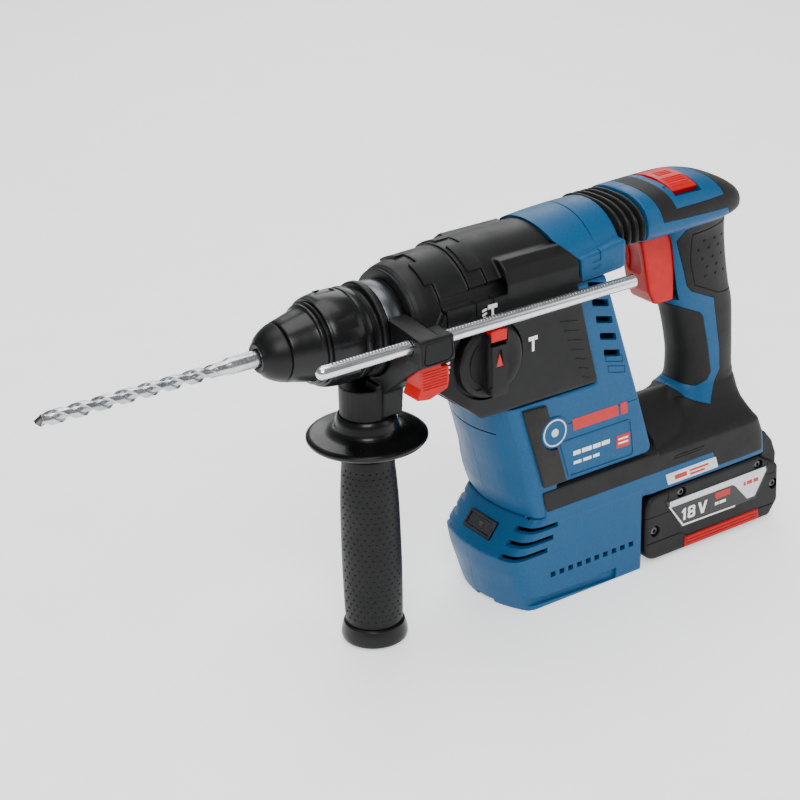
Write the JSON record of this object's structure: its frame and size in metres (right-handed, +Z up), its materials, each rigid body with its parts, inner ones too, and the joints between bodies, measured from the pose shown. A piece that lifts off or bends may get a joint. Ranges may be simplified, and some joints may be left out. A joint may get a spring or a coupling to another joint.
{
  "type": "cordless rotary hammer",
  "caption": "Rotary hammer with a leaning motor housing, damped D-handle, side handle with depth rod, drill bit and slide-on battery.",
  "frame": {"origin": "flat underside of the motor base, under the motor, on the tool's mid-plane", "axes": "+X from the chuck to the rear handle, +Z up, so the mode knob and depth rod are on the -Y side"},
  "size_m": [0.4967, 0.0964, 0.2441],
  "materials": {
    "blue": "satin moulded nylon with a slight mottle",
    "charcoal": "fine-grained matt moulding",
    "soft_grip": "matt soft-touch elastomer",
    "bellows_rubber": "matt black rubber",
    "gloss_black": "polished black",
    "red": "satin",
    "steel": "bright drawn steel",
    "tip": "ground carbide",
    "mechanism_steel": "machined and oiled",
    "core_steel": "varnished laminations",
    "inner_plastic": "plain moulding",
    "board": "lacquered circuit board",
    "cells": "shrink sleeve",
    "lens": "smoked clear lens"
  },
  "bodies": {
    "handle_frame": {"frame_shell_left": "blue", "frame_shell_right": "blue", "foot_overmould": "soft_grip", "rear_grip_pad": "soft_grip", "front_grip_pad": "soft_grip", "head_pad": "soft_grip", "switch_unit": "inner_plastic", "terminal_block": "inner_plastic", "motor_controller": "board", "light_bezel": "gloss_black", "light_lens": "lens"},
    "hammer_unit": {"gear_housing": "charcoal", "motor_housing_left": "blue", "motor_housing_right": "blue", "side_strip_left": "soft_grip", "side_strip_right": "soft_grip", "rear_cover": "blue", "bellows": "bellows_rubber", "stator": "core_steel", "upper_bearing": "mechanism_steel", "lower_bearing": "mechanism_steel", "spindle_bearing": "mechanism_steel"},
    "rotor": {"rotor_shaft": "mechanism_steel", "rotor_core": "core_steel", "motor_fan": "inner_plastic"},
    "intermediate": {"intermediate_shaft": "mechanism_steel", "drive_gear": "mechanism_steel", "wobble_drum": "mechanism_steel"},
    "wobble_ring": {"wobble_ring": "mechanism_steel"},
    "spindle": {"hammer_tube": "mechanism_steel", "spindle_gear": "mechanism_steel", "dust_cap": "gloss_black", "sleeve_spring": "mechanism_steel"},
    "chuck_sleeve": {"chuck_sleeve": "gloss_black"},
    "drill_bit": {"drill_bit": "steel", "carbide_tip": "tip"},
    "impact_bolt": {"impact_bolt": "mechanism_steel"},
    "striker": {"striker": "mechanism_steel"},
    "piston": {"piston": "mechanism_steel"},
    "side_handle": {"clamp_head": "charcoal", "clamp_strap": "steel", "clamp_bolt": "steel"},
    "side_grip": {"grip_guard": "gloss_black", "grip_sleeve": "soft_grip", "grip_end_cap": "gloss_black"},
    "depth_rod": {"depth_rod": "steel"},
    "depth_button": {"depth_button": "red"},
    "mode_knob": {"mode_knob": "charcoal"},
    "mode_button": {"mode_button": "red"},
    "trigger": {"trigger": "red"},
    "reversing_slide": {"reversing_slide": "red"},
    "battery": {"battery_case": "charcoal", "battery_cover": "charcoal", "cell_pack": "cells", "battery_contacts": "inner_plastic", "battery_screw_1": "mechanism_steel", "battery_screw_2": "mechanism_steel", "battery_screw_3": "mechanism_steel", "battery_screw_4": "mechanism_steel"},
    "battery_button": {"battery_button": "red"}
  },
  "joints": [
    {"name": "handle_damping", "type": "hinge", "parent": "handle_frame", "child": "hammer_unit", "pos_m": [0, 0, 0.072], "axis": [0, 1, 0], "range_deg": [0, 1], "stiffness_Nm_per_rad": 500, "springref_deg": -0.34, "deforming": ["bellows"]},
    {"name": "spindle_spin", "type": "hinge", "parent": "hammer_unit", "child": "spindle", "pos_m": [0, 0, 0.1995], "axis": [1, 0, 0], "continuous": true},
    {"name": "shaft_spin", "type": "hinge", "parent": "hammer_unit", "child": "intermediate", "pos_m": [0, 0, 0.1615], "axis": [1, 0, 0], "continuous": true},
    {"name": "rotor_spin", "type": "hinge", "parent": "hammer_unit", "child": "rotor", "pos_m": [0.0038, 0, 0.078], "axis": [-0.2639, 0, 0.9646], "continuous": true},
    {"name": "wobble_swing", "type": "hinge", "parent": "hammer_unit", "child": "wobble_ring", "pos_m": [-0.04, 0, 0.1615], "axis": [0, 1, 0], "range_deg": [-10, 10]},
    {"name": "piston_slide", "type": "slide", "parent": "hammer_unit", "child": "piston", "axis": [1, 0, 0], "range_m": [-0.0066, 0.0066]},
    {"name": "striker_slide", "type": "slide", "parent": "spindle", "child": "striker", "axis": [1, 0, 0], "range_m": [-0.0015, 0.006]},
    {"name": "impact_bolt_slide", "type": "slide", "parent": "spindle", "child": "impact_bolt", "axis": [1, 0, 0], "range_m": [-0.003, 0]},
    {"name": "sleeve_slide", "type": "slide", "parent": "spindle", "child": "chuck_sleeve", "axis": [1, 0, 0], "range_m": [0, 0.0045], "stiffness_N_per_m": 2000, "springref_m": -0.004},
    {"name": "bit_slide", "type": "slide", "parent": "spindle", "child": "drill_bit", "axis": [-1, 0, 0], "range_m": [0, 0.05]},
    {"name": "mode_knob_turn", "type": "hinge", "parent": "hammer_unit", "child": "mode_knob", "pos_m": [-0.071, 0, 0.177], "axis": [0, 1, 0], "range_deg": [-85, 85]},
    {"name": "mode_button_press", "type": "slide", "parent": "mode_knob", "child": "mode_button", "axis": [0, 0, -1], "range_m": [0, 0.002], "stiffness_N_per_m": 800, "springref_m": -0.002},
    {"name": "side_handle_swing", "type": "hinge", "parent": "hammer_unit", "child": "side_handle", "pos_m": [-0.1305, 0, 0.1995], "axis": [1, 0, 0], "range_deg": [-12, 0]},
    {"name": "grip_twist", "type": "hinge", "parent": "side_handle", "child": "side_grip", "pos_m": [-0.1305, 0, 0.1], "axis": [0, 0, 1], "range_deg": [-180, 180]},
    {"name": "rod_slide", "type": "slide", "parent": "side_handle", "child": "depth_rod", "axis": [1, 0, 0], "range_m": [-0.1, 0.05]},
    {"name": "depth_button_press", "type": "slide", "parent": "side_handle", "child": "depth_button", "axis": [0, 1, 0], "range_m": [0, 0.003], "stiffness_N_per_m": 800, "springref_m": -0.003},
    {"name": "trigger_pull", "type": "slide", "parent": "handle_frame", "child": "trigger", "axis": [1, 0, 0], "range_m": [0, 0.008], "stiffness_N_per_m": 700, "springref_m": -0.005},
    {"name": "reversing_slide_turn", "type": "hinge", "parent": "handle_frame", "child": "reversing_slide", "pos_m": [0.09, 0, 0.1928], "axis": [1, 0, 0], "range_deg": [-4, 4]},
    {"name": "battery_slide", "type": "slide", "parent": "handle_frame", "child": "battery", "axis": [1, 0, 0], "range_m": [0, 0.12]},
    {"name": "battery_button_press", "type": "slide", "parent": "battery", "child": "battery_button", "axis": [0, 0, -1], "range_m": [0, 0.0015], "stiffness_N_per_m": 1500, "springref_m": -0.002}
  ],
  "couplings": [
    {"joint": "shaft_spin", "follows": "spindle_spin", "ratio": -1.9231},
    {"joint": "rotor_spin", "follows": "spindle_spin", "ratio": -6.5934},
    {"joint": "wobble_swing", "follows": "piston_slide", "rad_per_m": 26.316}
  ]
}
